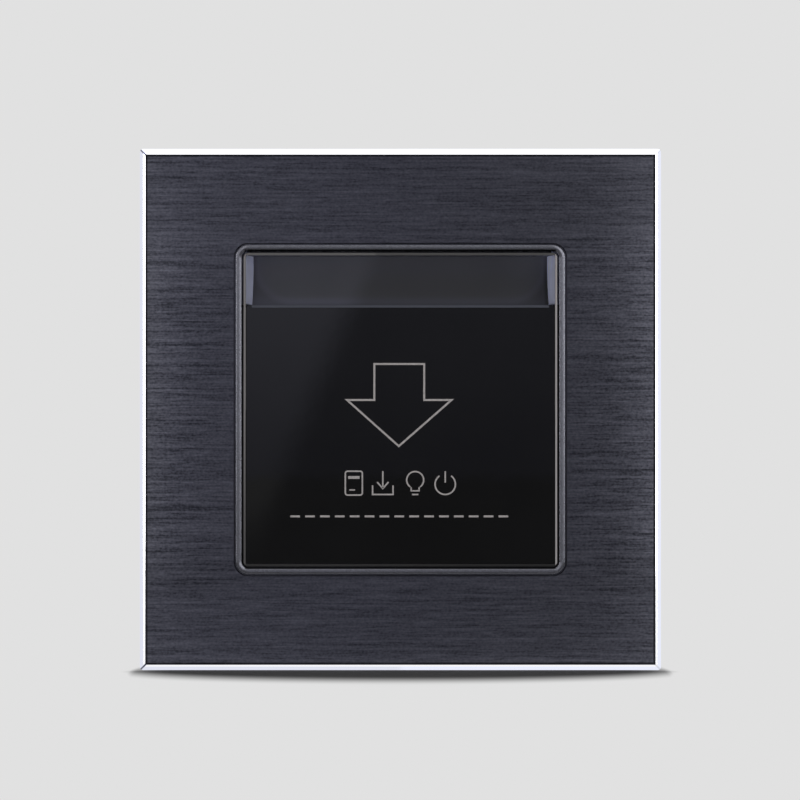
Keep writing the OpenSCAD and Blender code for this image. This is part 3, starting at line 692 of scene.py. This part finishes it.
def floor_shadow(s, x, y):
    """1 where the floor is bare, less in the painted shadows of the front and of the rear housing."""
    # Lens-shaped under the front, drawn out to a point at both ends
    half, bulge, middle_y, soft = 47.6 * MM, 24.5 * MM, -14 * MM, 12 * MM
    point_x, point_slope = 46.5 * MM, 3.9
    wide = s.math("DIVIDE", x, half)
    bow = s.math("SQRT", s.past(1.0, s.times(wide, wide)))
    lens = s.math("ABSOLUTE", s.math("SUBTRACT", y, middle_y))
    lens = s.math("MULTIPLY_ADD", bow, -bulge, lens)
    lens = s.math("MULTIPLY_ADD", s.past(x, point_x), point_slope, lens)
    front = s.span(lens, -soft, soft)
    # A soft oval under the housing
    oval_y, oval_half, oval_depth = 4 * MM, 46 * MM, 58 * MM
    deep = s.math("DIVIDE", s.math("SUBTRACT", y, oval_y), oval_depth)
    oval = s.length(s.math("DIVIDE", x, oval_half), deep)
    rear = s.blend(s.span(oval, 0.30, 1.0), 0.25, 1.0)
    return s.math("MINIMUM", front, rear)


def floor_mirrored(s, y):
    """How bright metal and glass see the floor: white under the part, dim in front of it."""
    level = s.blend(s.span(y, -21 * MM, -14 * MM), 0.09, 0.42)
    level = s.blend(s.span(y, -13.6 * MM, -12.9 * MM), level, 1.0)
    # Far in front, on the left, the reflector's light goes on over the floor
    slant = s.math("SUBTRACT", s.axis("X"), s.math("MULTIPLY_ADD", y, 0.0203, -35 * MM))
    patch = s.times(s.span(slant, 7 * MM, -7 * MM), s.span(y, -0.3, -1.4))
    return s.math("MULTIPLY_ADD", patch, 0.14, level)


def floor_material():
    """Pale to the camera, but for the painted shadows; seen from below, it is left out of the picture."""
    s = Shader("stage_floor")
    y = s.axis("Y")
    path = s.node("ShaderNodeLightPath").outputs
    seen = path["Is Camera Ray"]
    tone = s.mix(seen, (FLOOR_TONE,) * 3, (SHADOW_TONE,) * 3)
    s.set(Base_Color=tone, Roughness=0.9, Specular_IOR_Level=0.1)
    bare = s.times(seen, floor_shadow(s, s.size("X"), y))
    plain = s.either(bare, s.bsdf.outputs[0], s.glow(BACKGROUND, 1.0))
    mirrored = s.math("MAXIMUM", path["Is Glossy Ray"], path["Is Transmission Ray"])
    above = s.either(mirrored, plain, s.glow((1, 1, 1), floor_mirrored(s, y)))
    below = s.node("ShaderNodeNewGeometry").outputs["Backfacing"]
    return s.surface(s.either(below, above, s.node("ShaderNodeBsdfTransparent").outputs[0]))


def flat_sheet(name, corners, material):
    mesh = bpy.data.meshes.new(name)
    mesh.from_pydata(corners, [], [(0, 1, 2, 3)])
    mesh.materials.append(material)
    sheet = new_object(name, mesh)
    return sheet


floor_corners = [
    (sx * FLOOR_HALF, sy * FLOOR_HALF, FLOOR_Z) for sx, sy in ((-1, -1), (1, -1), (1, 1), (-1, 1))
]
flat_sheet("stage_floor", floor_corners, floor_material())


def soft_card():
    """A dim reflector behind the camera, with a slanting edge, that only reflections show."""
    s = Shader("stage_card")
    x, z = s.axis("X"), s.axis("Z")
    slant = s.math("MULTIPLY_ADD", z, -0.395, x)
    fade = s.times(s.span(slant, -0.042, -0.070), s.span(z, -0.16, 0.10))
    base = s.blend(s.span(z, -0.04, 0.07), 0.13, 0.20)
    s.surface(s.glow((0.92, 0.93, 1.12), s.math("MULTIPLY_ADD", fade, 0.33, base)))
    half, far = 0.5, -1.9
    corners = [(sx * half, far, sz * half) for sx, sz in ((-1, -1), (-1, 1), (1, 1), (1, -1))]
    sheet = flat_sheet("stage_card", corners, s.mat)
    sheet.visible_camera = False
    sheet.visible_diffuse = False
    sheet.visible_shadow = False


soft_card()


def lamp_box(name, place, target, size, power):
    data = bpy.data.lights.new(name, "AREA")
    data.shape = "RECTANGLE"
    data.size, data.size_y = size
    data.energy = power
    box = new_object(name, data)
    box.location = place
    box.rotation_euler = (Vector(target) - Vector(place)).to_track_quat("-Z", "Y").to_euler()
    box.visible_camera = False


SIDE_TARGET = (0.0, -0.012, 0.0)
SIDE_SIZE = (0.22, 0.5)
lamp_box("lamp_top", (0.0, 0.28, 0.62), (0.0, 0.0, 0.0), (0.9, 0.80), 1.7)
lamp_box("lamp_left", (-0.60, -0.04, 0.02), SIDE_TARGET, SIDE_SIZE, 1.55)
lamp_box("lamp_right", (0.60, -0.04, 0.02), SIDE_TARGET, SIDE_SIZE, 1.75)


def studio_world():
    """Pale to the camera; for light and reflections bright round about and dim behind the camera."""
    scene.world = bpy.data.worlds.new("studio")
    scene.world.use_nodes = True
    w = NodeTree(scene.world.node_tree)
    way = w.node("ShaderNodeSeparateXYZ", {0: w.node("ShaderNodeTexCoord").outputs["Generated"]}).outputs
    path = w.node("ShaderNodeLightPath").outputs
    seen = path["Is Camera Ray"]
    # The sides are dimmest far on the left and brightest far on the right
    lit = w.blend(w.span(way["X"], -0.45, -0.22), 0.62, 1.05)
    lit = w.blend(w.span(way["X"], 0.22, 0.45), lit, 1.5)
    side = w.times(w.span(w.math("ABSOLUTE", way["X"]), 0.055, 0.22), lit)
    above = w.times(w.span(way["Z"], 0.20, 0.75), 0.42)
    level = w.math("MAXIMUM", above, w.math("MAXIMUM", side, 0.06))
    # Behind the object it is as grey as the floor, and white in reflections
    mirrored = w.math("MAXIMUM", path["Is Glossy Ray"], path["Is Transmission Ray"])
    behind = w.blend(mirrored, FLOOR_TONE, 1.0)
    level = w.blend(w.span(way["Y"], -0.60, -0.05), level, behind)
    back = w.tree.nodes["Background"].inputs
    w.put(back["Color"], w.mix(seen, (1, 1, 1), BACKGROUND))
    w.put(back["Strength"], w.blend(seen, level, 1.0))


studio_world()

PHOTO_PX = 800
PLATE_PX = 521.4
VIEW_WIDTH = (plate_hi.x - plate_lo.x) * PHOTO_PX / PLATE_PX
DISTANCE = 0.75
SENSOR = 36
AIM = Vector((-0.07, -10.5, 1.69)) * MM
camera = new_object("camera", bpy.data.cameras.new("camera"))
camera.data.sensor_width = SENSOR
camera.data.lens = SENSOR * DISTANCE / VIEW_WIDTH
camera.location = AIM - Vector((0, DISTANCE, 0))
camera.rotation_euler = (math.pi / 2, 0, 0)
scene.camera = camera
